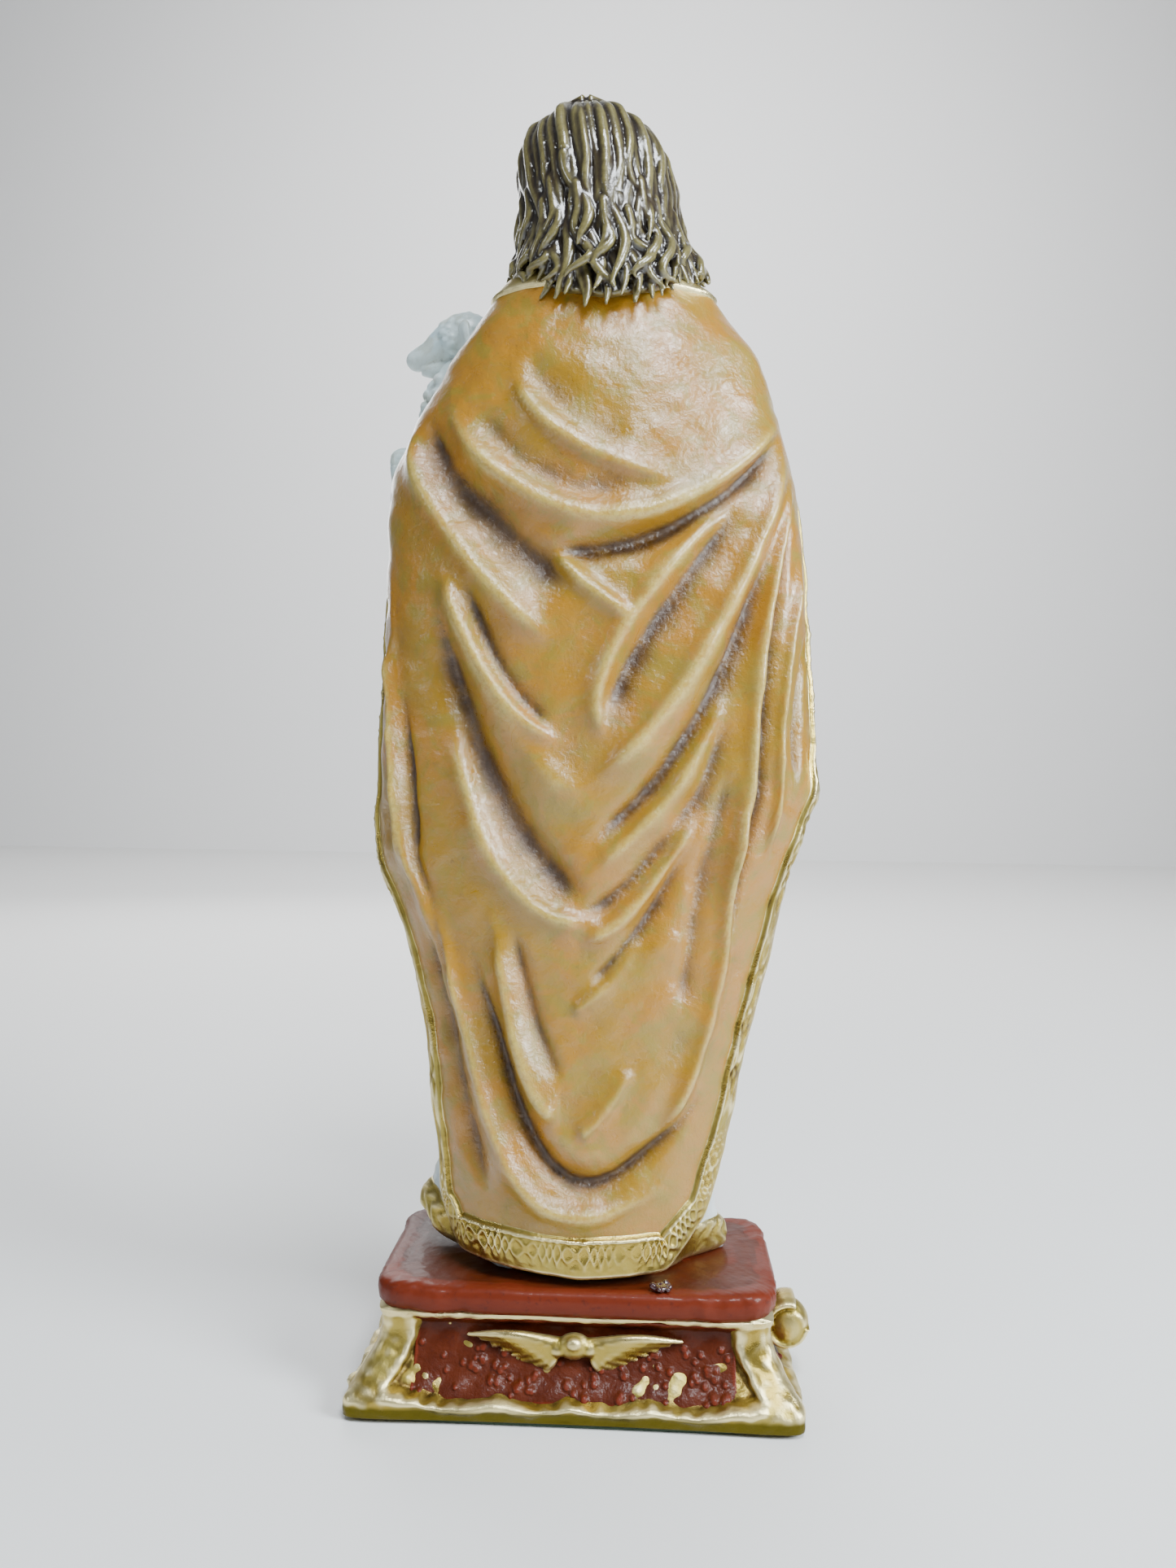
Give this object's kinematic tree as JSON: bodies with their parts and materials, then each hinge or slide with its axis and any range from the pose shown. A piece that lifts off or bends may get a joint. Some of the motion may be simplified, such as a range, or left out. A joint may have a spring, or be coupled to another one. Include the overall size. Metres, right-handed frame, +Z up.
{
  "type": "madonna statue",
  "caption": "Small painted standing figure in a long draped mantle, holding a lamb on its left arm, on a rectangular flared plinth.",
  "frame": {"origin": "centre of the underside of the felt under the plinth", "axes": "+Z up along the figure, the figure faces -Y, and its left side is +X"},
  "size_m": [0.0737, 0.0491, 0.2],
  "materials": {
    "felt": "felt, matte",
    "gold_paint": "metallic gold paint on cast resin, worn, satin",
    "burgundy_gloss": "high gloss lacquer on cast resin",
    "robe_white": "cool white paint with grey wash, satin",
    "mantle_ochre": "mottled ochre paint with dark wash, gloss varnish",
    "flesh": "painted flesh tone, satin",
    "hair_brown": "dark brown with gold-olive dry brushing, satin",
    "lamb_white": "off-white paint with grey wash, satin",
    "hoof_dark": "near-black paint, satin",
    "raw_resin": "unpainted cast resin",
    "adhesive": "dark set adhesive, glossy"
  },
  "bodies": {
    "root": {"felt_pad": "felt", "plinth": "gold_paint", "tablet_back": "burgundy_gloss", "tablet_front": "burgundy_gloss", "tablet_left": "burgundy_gloss", "tablet_right": "burgundy_gloss", "wings_back": "gold_paint", "wings_front": "gold_paint", "side_scroll": "gold_paint", "slab": "burgundy_gloss", "foot_pegs": "raw_resin", "adhesive_bead": "adhesive", "robe": "robe_white", "robe_hem": "gold_paint", "sash": "gold_paint", "mantle": "mantle_ochre", "mantle_border": "gold_paint", "collar": "gold_paint", "left_sleeve": "robe_white", "right_sleeve": "robe_white", "left_hand": "flesh", "right_hand": "flesh", "head": "flesh", "neck_peg": "raw_resin", "hair": "hair_brown", "left_foot": "flesh", "right_foot": "flesh", "lamb_body": "lamb_white", "lamb_head": "lamb_white", "lamb_ears": "lamb_white", "lamb_front_legs": "lamb_white", "lamb_hind_legs": "lamb_white", "lamb_hooves": "hoof_dark", "lamb_tail": "lamb_white"}
  },
  "joints": []
}
